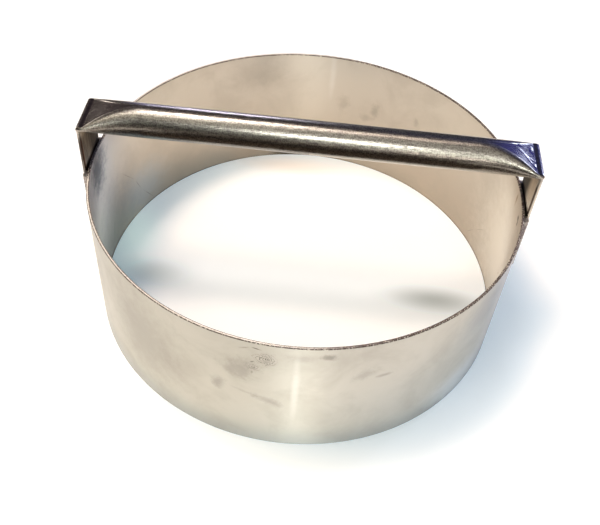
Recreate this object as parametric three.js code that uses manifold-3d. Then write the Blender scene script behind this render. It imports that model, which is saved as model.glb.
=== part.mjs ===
// Pizza base cutter: a rolled strip of stainless steel closed into a ring, with a tube handle across it.
// The tube is round along the grip, pressed flat at both ends, folded down over the rim and welded to
// the outside of the ring. Millimetres, +Z up, +X along the grip, origin at the centre of the ring's base.

import * as THREE from 'three';
import { mergeVertices } from 'three/addons/utils/BufferGeometryUtils.js';
import Module from 'manifold-3d';

// Driving dimensions of the ring
const CUT_DIAMETER = 203.2;
const RING_WALL = 1.2;
const RING_HEIGHT = 72;
const RING_SIDES = 144;

// Driving dimensions of the butt joint, which lies behind the right tab
const SEAM_ANGLE = THREE.MathUtils.degToRad(-3);
const SEAM_WIDTH = 1.4;
const SEAM_CROWN = 0.25;
const SEAM_CROWN_STEPS = 4;

// Driving dimensions of the handle
const TUBE_DIAMETER = 15.9;
const TUBE_WALL = 1;
const SLIT = 0.3;
const GRIP_AXIS_HEIGHT = 94.4;
const FLARE_LENGTH = 27;
const TAB_REACH_BELOW_RIM = 35;
const FOLD_INNER_RADIUS = 0.2;
const FOLD_OUTER_RADIUS = 1.5;
const FOLD_RUN = 1;

// How finely the handle is divided
const SECTION_SIDES = 32;
const FLARE_STEPS = 8;
const FOLD_STEPS = 4;

// Driving dimensions of the four tab welds
const BEAD_RADIUS = 1.8;
const BEAD_RIPPLE = 0.12;
const BEAD_RIPPLES = 10;
const BEAD_SIDES = 10;
const BEAD_INSET = 1.2;
const BEAD_OFFSET = 0.7;

// Clearance left between neighbouring pieces
const FIT_GAP = 0.3;

// An arc of a shape is cut into twice as many straight segments as its curveSegments setting
const SEGMENTS_PER_ARC_STEP = 2;

// Worked out from the driving dimensions
const boreRadius = CUT_DIAMETER / 2;
const ringRadius = boreRadius + RING_WALL;
const flatThickness = 2 * TUBE_WALL + SLIT;
const tabInnerX = ringRadius + FIT_GAP;
const tabMiddleX = tabInnerX + flatThickness / 2;
const tabEndHeight = RING_HEIGHT - TAB_REACH_BELOW_RIM;
const foldUnderside = GRIP_AXIS_HEIGHT - flatThickness / 2;
const flareEndX = tabInnerX - FOLD_RUN;

const wasm = await Module();
wasm.setup();

// Finishes
const satinSteel = { color: 0xc9bfb0, roughness: 0.35, metalness: 1 };
const polishedSteel = { color: 0xbdb4ac, roughness: 0.2, metalness: 1 };
const weldSteel = { color: 0x8d857d, roughness: 0.5, metalness: 1 };

function piece(name, geometry, finish) {
  geometry.computeVertexNormals();
  const mesh = new THREE.Mesh(geometry, new THREE.MeshStandardMaterial(finish));
  mesh.name = name;
  return mesh;
}

// Boolean helpers

function toSolid(geometry) {
  const bare = geometry.clone();
  bare.deleteAttribute('normal');
  bare.deleteAttribute('uv');
  const merged = mergeVertices(bare);
  return new wasm.Manifold(new wasm.Mesh({
    numProp: 3,
    vertProperties: new Float32Array(merged.attributes.position.array),
    triVerts: new Uint32Array(merged.index.array),
  }));
}

function toGeometry(solid) {
  const mesh = solid.getMesh();
  const geometry = new THREE.BufferGeometry();
  geometry.setAttribute('position', new THREE.BufferAttribute(mesh.vertProperties, 3));
  geometry.setIndex(new THREE.BufferAttribute(mesh.triVerts, 1));
  return geometry;
}

// The ring: a strip that goes almost all the way round and stops short of itself at the butt joint

function cutterRing() {
  const halfGap = (SEAM_WIDTH / 2 + FIT_GAP) / ringRadius;
  const start = SEAM_ANGLE + halfGap;
  const end = SEAM_ANGLE + 2 * Math.PI - halfGap;
  const outline = new THREE.Shape();
  outline.absarc(0, 0, ringRadius, start, end, false);
  outline.absarc(0, 0, boreRadius, end, start, true);
  outline.closePath();
  return new THREE.ExtrudeGeometry(outline, {
    depth: RING_HEIGHT,
    bevelEnabled: false,
    curveSegments: RING_SIDES / SEGMENTS_PER_ARC_STEP,
  });
}

// The weld in the butt joint: flush with the outside, a low crown inside

function ringSeamWeld() {
  const half = SEAM_WIDTH / 2;
  const outline = new THREE.Shape();
  outline.moveTo(boreRadius, -half);
  outline.lineTo(ringRadius, -half);
  outline.lineTo(ringRadius, half);
  outline.lineTo(boreRadius, half);
  // The curve rises half way to its control point
  outline.quadraticCurveTo(boreRadius - 2 * SEAM_CROWN, 0, boreRadius, -half);
  const geometry = new THREE.ExtrudeGeometry(outline, {
    depth: RING_HEIGHT - 2 * FIT_GAP,
    bevelEnabled: false,
    curveSegments: SEAM_CROWN_STEPS,
  });
  geometry.translate(0, 0, FIT_GAP);
  return geometry;
}

// The handle tube

// Outside thickness of the tube at a distance along the grip from its middle
function thicknessAt(x) {
  const fromFlare = Math.min((flareEndX - x) / FLARE_LENGTH, 1);
  return TUBE_DIAMETER - (TUBE_DIAMETER - flatThickness) * (1 - fromFlare) ** 2;
}

// A flattened section: two flats joined by half rounds, with points evenly spaced along it.
// The length of the sheet round the section is the same at every thickness, which sets the flats.
function sectionLoop(thickness, radius) {
  const flat = Math.PI * (TUBE_DIAMETER - thickness) / 4;
  const loop = new THREE.Path();
  loop.moveTo(0, radius);
  loop.lineTo(flat, radius);
  loop.absarc(flat, 0, radius, Math.PI / 2, -Math.PI / 2, true);
  loop.lineTo(-flat, -radius);
  loop.absarc(-flat, 0, radius, -Math.PI / 2, -Math.PI * 3 / 2, true);
  loop.lineTo(0, radius);
  return loop.getSpacedPoints(SECTION_SIDES).slice(0, SECTION_SIDES);
}

// A station is the tube's outer and inner loops, each point put in place by a rule of its own
function station(thickness, place) {
  const outer = sectionLoop(thickness, thickness / 2).map(place);
  const inner = sectionLoop(thickness, thickness / 2 - TUBE_WALL).map(place);
  return { outer, inner };
}

function gripStation(x) {
  return station(thicknessAt(x), (p) => new THREE.Vector3(x, p.x, GRIP_AXIS_HEIGHT + p.y));
}

// Layers of the flattened tube turn the fold as nested rounded corners
function foldStation(angle) {
  return station(flatThickness, (p) => {
    const depth = p.y + flatThickness / 2;
    const radius = THREE.MathUtils.mapLinear(depth, 0, flatThickness, FOLD_INNER_RADIUS, FOLD_OUTER_RADIUS);
    const centreX = tabInnerX + depth - radius;
    const centreZ = foldUnderside + depth - radius;
    return new THREE.Vector3(centreX + radius * Math.sin(angle), p.x, centreZ + radius * Math.cos(angle));
  });
}

function tabStation(z) {
  return station(flatThickness, (p) => new THREE.Vector3(tabMiddleX + p.y, p.x, z));
}

// Stations from the middle of the grip to the end of the right tab
function halfHandleStations() {
  const stations = [gripStation(0)];
  for (let i = 0; i <= FLARE_STEPS; i += 1) {
    stations.push(gripStation(flareEndX - FLARE_LENGTH * (1 - i / FLARE_STEPS)));
  }
  for (let i = 0; i <= FOLD_STEPS; i += 1) {
    stations.push(foldStation((Math.PI / 2) * (i / FOLD_STEPS)));
  }
  stations.push(tabStation(foldUnderside - FOLD_RUN));
  stations.push(tabStation(tabEndHeight));
  return stations;
}

function mirrored({ outer, inner }) {
  const flip = (p) => new THREE.Vector3(-p.x, p.y, p.z);
  return { outer: outer.map(flip), inner: inner.map(flip) };
}

function handleTube() {
  const right = halfHandleStations();
  const left = right.slice(1).reverse().map(mirrored);
  const stations = [...left, ...right];
  const points = stations.flatMap(({ outer, inner }) => [...outer, ...inner]);
  const geometry = new THREE.BufferGeometry().setFromPoints(points);
  const index = [];
  const outerAt = (k, i) => k * 2 * SECTION_SIDES + (i % SECTION_SIDES);
  const innerAt = (k, i) => outerAt(k, i) + SECTION_SIDES;
  const quad = (a, b, c, d) => index.push(a, b, c, a, c, d);
  const last = stations.length - 1;
  for (let i = 0; i < SECTION_SIDES; i += 1) {
    for (let k = 0; k < last; k += 1) {
      quad(outerAt(k, i), outerAt(k + 1, i), outerAt(k + 1, i + 1), outerAt(k, i + 1));
      quad(innerAt(k, i), innerAt(k, i + 1), innerAt(k + 1, i + 1), innerAt(k + 1, i));
    }
    quad(outerAt(0, i), outerAt(0, i + 1), innerAt(0, i + 1), innerAt(0, i));
    quad(outerAt(last, i), innerAt(last, i), innerAt(last, i + 1), outerAt(last, i + 1));
  }
  geometry.setIndex(index);
  return geometry;
}

// The tab welds: a rippled bead in the nook between a tab's rounded edge and the ring

function rippledBead(length) {
  const profile = [new THREE.Vector2(0, 0)];
  const rings = 2 * BEAD_RIPPLES;
  for (let i = 0; i <= rings; i += 1) {
    const swell = i % 2 === 0 ? -BEAD_RIPPLE : BEAD_RIPPLE;
    profile.push(new THREE.Vector2(BEAD_RADIUS + swell, length * (i / rings)));
  }
  profile.push(new THREE.Vector2(0, length));
  return new THREE.LatheGeometry(profile, BEAD_SIDES).rotateX(Math.PI / 2);
}

// The tab's section grown by the clearance, taller than the bead
function tabWithClearance() {
  const flat = Math.PI * (TUBE_DIAMETER - flatThickness) / 4;
  const radius = flatThickness / 2 + FIT_GAP;
  const outline = new THREE.Shape();
  outline.absarc(0, flat, radius, 0, Math.PI, false);
  outline.absarc(0, -flat, radius, Math.PI, 2 * Math.PI, false);
  outline.closePath();
  const geometry = new THREE.ExtrudeGeometry(outline, { depth: RING_HEIGHT, bevelEnabled: false });
  return geometry.translate(tabMiddleX, 0, 0);
}

// The ring filled in and grown by the clearance
function ringWithClearance() {
  const radius = ringRadius + FIT_GAP;
  const geometry = new THREE.CylinderGeometry(radius, radius, 2 * RING_HEIGHT, RING_SIDES);
  return geometry.rotateX(Math.PI / 2);
}

// One bead along the +Y edge of the right tab
function tabWeld() {
  const length = TAB_REACH_BELOW_RIM - 2 * BEAD_INSET;
  const tabHalfWidth = Math.PI * (TUBE_DIAMETER - flatThickness) / 4 + flatThickness / 2;
  const bead = rippledBead(length).translate(tabInnerX, tabHalfWidth + BEAD_OFFSET, tabEndHeight + BEAD_INSET);
  const cut = toSolid(bead).subtract(toSolid(tabWithClearance())).subtract(toSolid(ringWithClearance()));
  return toGeometry(cut);
}

// Assembly

const cutter = new THREE.Group();

const ring = new THREE.Group();
ring.add(piece('cutter_ring', cutterRing(), satinSteel));
const seam = piece('ring_seam_weld', ringSeamWeld(), weldSteel);
seam.rotation.z = SEAM_ANGLE;
ring.add(seam);
cutter.add(ring);

cutter.add(piece('handle_tube', handleTube(), polishedSteel));

const weldShape = tabWeld();
const tabWelds = new THREE.Group();
for (const [side, sideSign] of [['left', -1], ['right', 1]]) {
  for (const [edge, edgeSign] of [['front', -1], ['rear', 1]]) {
    const bead = weldShape.clone().scale(sideSign, edgeSign, 1);
    // A single mirror turns the faces inwards, so their corners are put in the opposite order
    if (sideSign * edgeSign < 0) {
      bead.index.array.reverse();
    }
    tabWelds.add(piece(`${side}_tab_${edge}_weld`, bead, weldSteel));
  }
}
cutter.add(tabWelds);

export default cutter;
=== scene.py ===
"""Dresses a pizza base cutter: a rolled steel ring with a flattened tube grip welded across its top."""
import logging
import math
from contextlib import contextmanager
from dataclasses import dataclass
from enum import Enum
from functools import cached_property
from typing import Any, Callable, Iterator, Optional, Union

import bmesh
import bpy
from mathutils import Matrix, Vector


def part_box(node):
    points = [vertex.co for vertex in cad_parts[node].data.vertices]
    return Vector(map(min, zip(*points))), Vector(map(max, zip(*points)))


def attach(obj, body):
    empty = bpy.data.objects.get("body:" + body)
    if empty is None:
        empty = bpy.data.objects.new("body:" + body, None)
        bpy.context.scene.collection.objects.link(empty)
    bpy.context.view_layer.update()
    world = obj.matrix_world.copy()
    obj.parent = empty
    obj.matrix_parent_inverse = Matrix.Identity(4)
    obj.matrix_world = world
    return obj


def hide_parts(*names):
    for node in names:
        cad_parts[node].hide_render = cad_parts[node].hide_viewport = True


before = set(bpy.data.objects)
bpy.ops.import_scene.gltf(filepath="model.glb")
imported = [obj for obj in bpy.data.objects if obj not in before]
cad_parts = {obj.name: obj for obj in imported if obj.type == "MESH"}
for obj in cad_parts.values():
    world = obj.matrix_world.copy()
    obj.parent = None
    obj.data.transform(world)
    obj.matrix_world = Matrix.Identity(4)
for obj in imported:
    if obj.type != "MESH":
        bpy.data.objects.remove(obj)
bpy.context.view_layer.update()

MM = 0.001
NEAR = 0.01 * MM
IMAGE_WIDTH = 600
LOG = logging.getLogger("pizza_base_cutter")

Colour = tuple[float, float, float]
Point = tuple[float, float, float]
Pair = tuple[float, float]
Number = Union["Value", float]
Place = tuple["Value", "Value", "Value"]
Inputs = dict[Union[str, int], Any]
Socket = bpy.types.NodeSocket
Material = bpy.types.Material
Piece = bpy.types.Object


class Side(Enum):
    """The two ends of the grip, by the sign of their place along X."""

    LEFT = -1
    RIGHT = 1


class Edge(Enum):
    """The two long edges of a tab, by the sign of their place along Y."""

    FRONT = -1
    REAR = 1


class Part(Enum):
    """What a selection in edit mode is made of."""

    VERTS = "VERT"
    EDGES = "EDGE"
    FACES = "FACE"


# Shader kit


def math_operator(operation: str, reflected: bool = False) -> Callable[["Value", Number], "Value"]:
    """Make the method behind a Python operator.

    Args:
        operation: The Math node's operation.
        reflected: Whether the value stands on the right of a plain number.

    Returns:
        The method, which adds one Math node.
    """
    def method(value: "Value", other: Number) -> "Value":
        """Return the result as a new value."""
        terms = (other, value) if reflected else (value, other)
        return value.bench.math(operation, *terms)

    return method


class Value:
    """A number in a shader, which adds Math nodes when it is used in an expression."""

    __add__ = math_operator("ADD")
    __radd__ = math_operator("ADD", reflected=True)
    __sub__ = math_operator("SUBTRACT")
    __rsub__ = math_operator("SUBTRACT", reflected=True)
    __mul__ = math_operator("MULTIPLY")
    __rmul__ = math_operator("MULTIPLY", reflected=True)
    __truediv__ = math_operator("DIVIDE")
    __rtruediv__ = math_operator("DIVIDE", reflected=True)
    __pow__ = math_operator("POWER")
    __rpow__ = math_operator("POWER", reflected=True)

    def __init__(self, bench: "ShaderBench", socket: Socket) -> None:
        """Hold the socket and the bench that its tree belongs to."""
        self.bench = bench
        self.socket = socket

    def __neg__(self) -> "Value":
        """Return this value with its sign turned."""
        return self * -1.0

    def __abs__(self) -> "Value":
        """Return this value without its sign."""
        return self.bench.math("ABSOLUTE", self)


class ShaderBench:
    """Adds nodes to the tree of one material or world."""

    MIX_FACTOR, MIX_FIRST, MIX_SECOND, MIX_RESULT = 0, 6, 7, 2

    def __init__(self, tree: bpy.types.NodeTree, coordinates: str = "Object") -> None:
        """Hold the tree that the nodes go into and the kind of coordinates that they use."""
        self.tree = tree
        self.coordinates = coordinates

    @cached_property
    def place(self) -> Place:
        """The coordinates along X, Y and Z, which are metres for Object."""
        texture = self.node("TexCoord", {})
        split = self.node("SeparateXYZ", {"Vector": texture.outputs[self.coordinates]})
        x, y, z = (Value(self, socket) for socket in split.outputs)
        return x, y, z

    def node(self, kind: str, inputs: Inputs, **settings: Any) -> bpy.types.Node:
        """Add any node.

        Args:
            kind: The node's type, without the words that all shader nodes start with.
            inputs: The values or links of its sockets, by number or name.
            settings: The node's own settings, set first.

        Returns:
            The node.
        """
        node = self.tree.nodes.new(f"ShaderNode{kind}")
        for name, setting in settings.items():
            setattr(node, name, setting)
        for key, given in inputs.items():
            source = given.socket if isinstance(given, Value) else given
            if isinstance(source, Socket):
                self.tree.links.new(source, node.inputs[key])
            else:
                node.inputs[key].default_value = source
        return node

    def link(self, kind: str, inputs: Inputs) -> Socket:
        """Add a node and return its first output as a link."""
        return self.node(kind, inputs).outputs[0]

    def value(self, kind: str, inputs: Inputs, **settings: Any) -> Value:
        """Add a node and return its first output as a value."""
        return Value(self, self.node(kind, inputs, **settings).outputs[0])

    def math(self, operation: str, *terms: Number) -> Value:
        """Return the result of a Math node, whose inputs are the terms in order."""
        return self.value("Math", dict(enumerate(terms)), operation=operation)

    def hypot(self, first: Value, second: Value) -> Value:
        """Return the length of the third side of a right triangle."""
        return self.math("SQRT", first * first + second * second)

    def rise(self, value: Value, low: float, high: float) -> Value:
        """Return a smooth rise from 0 to 1 as the value goes from low to high."""
        inputs: Inputs = {"Value": value, "From Min": low, "From Max": high}
        return self.value("MapRange", inputs, interpolation_type="SMOOTHSTEP")

    def noise(self, *cell: float, detail: float = 2.0, roughness: float = 0.5,
              distortion: float = 0.0) -> Value:
        """Return cloudy noise.

        Args:
            cell: The size of one cloud, or its three sizes along X, Y and Z.
            detail: How many finer layers are added.
            roughness: How strong the finer layers are.
            distortion: How far the clouds are swirled.

        Returns:
            A value that is about 0.5 on average.
        """
        sizes = cell * len(self.place) if len(cell) == 1 else cell
        steps: Inputs = {axis: along / size for axis, along, size in zip("XYZ", self.place, sizes)}
        inputs: Inputs = {"Vector": self.link("CombineXYZ", steps), "Scale": 1.0, "Detail": detail,
                          "Roughness": roughness, "Distortion": distortion}
        return self.value("TexNoise", inputs)

    def mix(self, first: Any, second: Any, factor: Number, blend: str = "MIX") -> Socket:
        """Mix two colours.

        Args:
            first: The colour or link at factor 0.
            second: The colour or link at factor 1.
            factor: How much of the second is used.
            blend: The blending mode.

        Returns:
            The mixed colour.
        """
        inputs: Inputs = {self.MIX_FACTOR: factor}
        for key, colour in ((self.MIX_FIRST, first), (self.MIX_SECOND, second)):
            inputs[key] = (*colour, 1.0) if isinstance(colour, tuple) else colour
        return self.node("Mix", inputs, data_type="RGBA", blend_type=blend).outputs[self.MIX_RESULT]

    def bump(self, height: Value, distance: float, strength: float,
             under: Optional[Socket] = None) -> Socket:
        """Turn a height into a normal.

        Args:
            height: The height of the surface, from 0 to 1.
            distance: The real depth of a height of 1, in metres.
            strength: How much of the bump is used.
            under: A bump under this one.

        Returns:
            The normal.
        """
        inputs: Inputs = {"Height": height, "Distance": distance, "Strength": strength}
        if under is not None:
            inputs["Normal"] = under
        return self.link("Bump", inputs)

    def metals(self, clear: Inputs, hazy: Inputs, haze: Value) -> None:
        """Finish a material as clear metal mixed with hazy metal, by the share of the haze."""
        first, second = (self.link("BsdfPrincipled", inputs) for inputs in (clear, hazy))
        self.finish(self.link("MixShader", {0: haze, 1: first, 2: second}))

    def finish(self, shader: Socket, output: str = "OutputMaterial") -> None:
        """Link a shader to a new output node."""
        self.node(output, {"Surface": shader})


def new_material(name: str) -> tuple[Material, ShaderBench]:
    """Make an empty material.

    Args:
        name: The material's name.

    Returns:
        The material and the bench for its nodes.
    """
    material = bpy.data.materials.new(name)
    material.use_nodes = True
    material.node_tree.nodes.clear()
    return material, ShaderBench(material.node_tree)


# Finishes


@dataclass(frozen=True)
class Mark:
    """A handling mark, or a patch of painted light or painted shade, on one face of the ring's wall, as an
    oval with ragged edges, in millimetres.

    The angle round the ring and the lean are in degrees. The long side leans up from the way in which
    the angle grows. A whorl is the spacing of a finger mark's lines, or 0 for a plain mark.
    """

    angle: float
    height: float
    half_long: float
    half_short: float
    strength: float
    lean: float = 0.0
    colour: Colour = (0.12, 0.105, 0.085)
    ragged: float = 0.8
    whorl: float = 0.0


OUTER_MARKS = (
    Mark(-94.2, 62.5, 5.6, 5.2, 0.80, whorl=1.3),
    Mark(-97.0, 56.0, 3.4, 3.6, 0.55, whorl=1.1),
    Mark(-96.4, 68.4, 3.0, 0.50, 0.75, lean=-12.0),
    Mark(-99.2, 67.6, 3.4, 0.80, 0.35, lean=20.0),
    Mark(-97.4, 59.3, 1.3, 0.55, 0.70, lean=35.0),
    Mark(-97.4, 52.0, 0.8, 1.80, 0.45),
    Mark(-100.6, 52.5, 11.0, 9.5, 0.26),
    Mark(-105.9, 38.5, 5.0, 6.5, 0.30),
    Mark(-93.2, 33.0, 10.0, 3.2, 0.26, lean=-22.0),
    Mark(-99.5, 37.0, 9.0, 1.2, 0.14, lean=-14.0),
    Mark(-80.2, 66.4, 5.0, 2.8, 0.42),
    Mark(-71.3, 51.9, 8.0, 4.5, 0.20, lean=35.0),
    Mark(-66.5, 49.0, 4.5, 1.5, 0.30),
    Mark(-86.4, 65.5, 8.0, 4.0, 0.18),
    # Painted shade: a broad darker tone on the front left, for a darker reflection.
    Mark(-128.0, 40.0, 32.0, 42.0, 0.28, ragged=0.3),
    # Painted highlight: a narrow light vertical streak where a lamp is mirrored.
    Mark(-87.2, 44.0, 2.4, 32.0, 0.44, colour=(1.0, 0.98, 0.92), ragged=0.25),
    # Painted reflection: a light patch low on the front right, for the bright floor that it mirrors.
    Mark(-39.0, 10.0, 28.0, 18.0, 0.6, colour=(0.94, 0.98, 1.0), ragged=0.3),
    # Painted reflection: a bluish grey on the front right, for the shadowed floor that it mirrors.
    Mark(-35.0, 58.0, 26.0, 24.0, 0.32, colour=(0.25, 0.28, 0.33), ragged=0.3),
    # Painted shadow: near black behind both tabs, where the wall lies in the tab's shade.
    Mark(0.0, 58.0, 16.0, 40.0, 0.97, colour=(0.02, 0.02, 0.02), ragged=0.1),
    Mark(180.0, 58.0, 16.0, 40.0, 0.97, colour=(0.02, 0.02, 0.02), ragged=0.1),
)
INNER_MARKS = (
    Mark(70.7, 41.9, 4.0, 7.0, 0.25),
    Mark(73.5, 36.0, 5.0, 4.0, 0.18),
    Mark(56.0, 45.7, 2.6, 4.0, 0.19),
    Mark(81.5, 43.0, 5.0, 7.0, 0.18),
    # Painted highlight: a light vertical streak on the back where a lamp is mirrored.
    Mark(86.0, 62.0, 2.6, 24.0, 0.25, colour=(1.0, 0.93, 0.84), ragged=0.25),
    # Painted reflection: a bluish grey low on the left, for the shadowed floor that it mirrors.
    Mark(157.0, 14.0, 30.0, 24.0, 0.5, colour=(0.55, 0.62, 0.66), ragged=0.3),
    # Painted shade: the top of the back wall's left part is darker.
    Mark(110.0, 60.0, 24.0, 16.0, 0.23, ragged=0.3),
    # Painted light: the right part is lightened, for the lit floor that it mirrors.
    Mark(4.0, 26.0, 46.0, 56.0, 0.50, colour=(1.0, 0.93, 0.80), ragged=0.3),
)
WELD_MARKS_AND_SHADE = (
    # Painted shade: a dark blotch by the left tab and a grey patch low on the left, which stand for dark
    # reflections; the marks after them are weld marks.
    Mark(181.0, 64.0, 17.0, 22.0, 0.85, colour=(0.08, 0.08, 0.09), ragged=0.6),
    Mark(175.0, 14.0, 36.0, 40.0, 0.55, colour=(0.14, 0.15, 0.155), ragged=0.2),
    Mark(-177.2, 70.0, 1.0, 0.8, 0.80),
    Mark(-175.1, 69.4, 0.9, 0.9, 0.80),
    Mark(179.0, 69.9, 0.8, 0.8, 0.70),
    Mark(-179.5, 20.5, 8.5, 1.0, 0.35, lean=-64.0),
    Mark(175.2, 11.5, 9.0, 1.0, 0.30, lean=-71.5),
    Mark(-4.1, 64.6, 2.2, 2.0, 1.0, colour=(0.02, 0.015, 0.01), ragged=0.2),
    Mark(-4.8, 62.6, 1.2, 2.4, 0.95, colour=(0.03, 0.02, 0.015), ragged=0.3),
    Mark(-9.3, 63.9, 4.0, 0.35, 0.25),
    Mark(2.7, 66.0, 1.3, 5.0, 0.60, colour=(0.30, 0.13, 0.05)),
    Mark(-3.5, 24.8, 0.7, 1.0, 0.60),
)
SCRATCHES_AND_FOOT_SHADOW = (
    Mark(163.0, 32.0, 9.3, 0.22, 0.60, lean=49.0),
    Mark(158.2, 19.5, 6.0, 0.22, 0.60, lean=65.0),
    Mark(153.6, 6.5, 9.2, 0.22, 0.60, lean=54.0),
    Mark(23.4, 8.3, 6.2, 0.22, 0.40, lean=-50.0),
    Mark(18.5, 17.3, 6.5, 0.22, 0.40, lean=-42.0),
    # Painted shadow: a near black wedge along the foot of the back wall, under the bar.
    Mark(98.0, 1.5, 18.0, 3.5, 0.90, colour=(0.03, 0.025, 0.02), ragged=0.4),
)


@dataclass(frozen=True)
class SatinSheet:
    """Mill-satin stainless sheet, rolled round, with handling marks, patches of painted light and shade,
    painted shade at its feet and a sheared bright rim, painted darker as shade on its right and under the
    tabs.
    """

    middle_radius: float
    height: float
    outer_marks: tuple[Mark, ...] = OUTER_MARKS
    inner_marks: tuple[Mark, ...] = INNER_MARKS + WELD_MARKS_AND_SHADE + SCRATCHES_AND_FOOT_SHADOW
    mark_grain: float = 0.9 * MM
    mark_blotch: float = 4.0 * MM
    mark_fine: float = 0.35
    mark_core: float = 0.1
    whorl_squash: float = 2.0
    whorl_warp: float = 34.0
    whorl_line: Pair = (0.2, 0.8)
    outer_colour: Colour = (0.75, 0.72, 0.645)
    # Painted shade: the outer wall's foot is painted a bluish grey, for the shadowed floor that it mirrors.
    outer_foot_shade: Colour = (0.52, 0.54, 0.52)
    outer_foot_shade_band: float = 18 * MM
    outer_foot_shade_depth: float = 0.7
    inner_colour: Colour = (0.745, 0.668, 0.568)
    # Painted shade: the inner wall is painted darker towards its foot, for the darker floor that it mirrors.
    inner_foot_shade: Colour = (0.48, 0.39, 0.30)
    inner_foot_shade_depth: float = 0.75
    cloud_colour: Colour = (0.4, 0.36, 0.30)
    cloud_size: float = 24 * MM
    cloud_range: Pair = (0.3, 0.6)
    cloud_depth: float = 0.25
    rim_colour: Colour = (0.88, 0.85, 0.80)
    rim_band: float = 0.12 * MM
    rim_speck: float = 0.6 * MM
    rim_specks: Pair = (0.38, 0.48)
    rim_wear: float = 0.17
    rim_core: Pair = (0.2 * MM, 0.36 * MM)
    # Painted shade: the rim's land is painted darker towards its right, where it mirrors a dark room.
    rim_shade: Colour = (0.34, 0.31, 0.32)
    rim_shade_from: Pair = (-10 * MM, 40 * MM)
    # Painted shadow: the rim's land is painted near black where it runs under the tabs.
    rim_tab_shadow: Colour = (0.03, 0.025, 0.025)
    rim_tab_shadow_from: Pair = (100.2 * MM, 101.2 * MM)
    edge_colour: Colour = (0.06, 0.04, 0.035)
    edge_band: float = 0.6 * MM
    edge_specks: Pair = (0.3, 0.5)
    sheared: float = 0.8
    roughness: float = 0.17
    cloud_rough: float = 0.12
    grain_rough: float = 0.05
    rim_rough: float = 0.3
    outer_haze: float = 0.6
    inner_haze: float = 0.45
    haze_roughness: float = 0.5
    haze_stretch: float = 0.96
    haze_turn: float = 0.25
    grain_length: float = 14 * MM
    grain_pitch: float = 0.35 * MM
    grain_depth: float = 0.001 * MM
    grain_strength: float = 0.5
    band_width: float = 11 * MM
    band_height: float = 137.5 * MM
    band_depth: float = 0.12 * MM

    def make(self) -> Material:
        """Make the material.

        Returns:
            The material.
        """
        material, bench = new_material("satin_sheet")
        x, y, z = bench.place
        radius = bench.hypot(x, y)
        outside = bench.math("GREATER_THAN", radius, self.middle_radius)
        grain = bench.noise(self.grain_length, self.grain_length, self.grain_pitch, detail=3.0)
        clouds = bench.noise(self.cloud_size, detail=4.0, roughness=0.6, distortion=0.4)
        bands = bench.noise(self.band_width, self.band_width, self.band_height)
        near_rim = bench.rise(z, self.height - self.edge_band, self.height - self.edge_band / 2)
        on_rim = bench.math("GREATER_THAN", z, self.height - self.rim_band)
        specks = bench.noise(self.rim_speck)
        colour = self._wall(bench, outside, clouds)
        colour = bench.mix(colour, self.edge_colour, near_rim * bench.rise(specks, *self.edge_specks))
        # Painted shade on the rim's right half, where fewer worn specks show.
        dull = bench.rise(x, *self.rim_shade_from)
        land = bench.mix(self.rim_colour, self.rim_shade, dull)
        # Painted shadow on the rim under the tabs.
        land = bench.mix(land, self.rim_tab_shadow, bench.rise(abs(x), *self.rim_tab_shadow_from))
        core = 1.0 - bench.rise(abs(radius - self.middle_radius), *self.rim_core)
        worn = bench.rise(specks - dull * self.rim_wear, *self.rim_specks)
        colour = bench.mix(colour, land, on_rim * core * worn)
        roughness = self.roughness + (clouds - 0.5) * self.cloud_rough + (grain - 0.5) * self.grain_rough
        lined = bench.bump(grain, self.grain_depth, self.grain_strength)
        shared: Inputs = {"Base Color": colour, "Metallic": 1.0 - near_rim * self.sheared,
                          "Normal": bench.bump(bands, self.band_depth, 1.0, lined)}
        clear: Inputs = {**shared, "Roughness": roughness + on_rim * self.rim_rough}
        hazy: Inputs = {**shared, "Roughness": self.haze_roughness, "Anisotropic": self.haze_stretch,
                        "Anisotropic Rotation": self.haze_turn}
        bench.metals(clear, hazy, self.inner_haze + outside * (self.outer_haze - self.inner_haze))
        return material

    def _wall(self, bench: ShaderBench, outside: Value, clouds: Value) -> Socket:
        """Colour both faces of the wall, with painted shade at their feet, clouds, marks and patches of
        painted light and shade.

        Args:
            bench: The material's bench.
            outside: 1 on the outer face and 0 on the inner one.
            clouds: The noise of the clouds.

        Returns:
            The colour.
        """
        x, y, z = bench.place
        # Painted shade: the inner wall darkens towards the bottom and the outer wall has a bluish band at
        # its foot.
        low = (1.0 - bench.rise(z, 0.0, self.height)) * self.inner_foot_shade_depth
        edge = (1.0 - bench.rise(z, 0.0, self.outer_foot_shade_band)) * self.outer_foot_shade_depth
        cloudy = (1.0 - bench.rise(clouds, *self.cloud_range)) * self.cloud_depth
        fine, blotch = bench.noise(self.mark_grain, detail=3.0), bench.noise(self.mark_blotch)
        ragged = fine * self.mark_fine + blotch * (1 - self.mark_fine)
        inner = bench.mix(self.inner_colour, self.inner_foot_shade, low)
        outer = bench.mix(self.outer_colour, self.outer_foot_shade, edge)
        place = (x / MM, y / MM, z / MM)
        faces = []
        for colour, marks in ((inner, self.inner_marks), (outer, self.outer_marks)):
            colour = bench.mix(colour, self.cloud_colour, cloudy)
            for mark in marks:
                colour = bench.mix(colour, mark.colour, self._mask(mark, bench, place, ragged))
            faces.append(colour)
        return bench.mix(*faces, outside)

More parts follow.
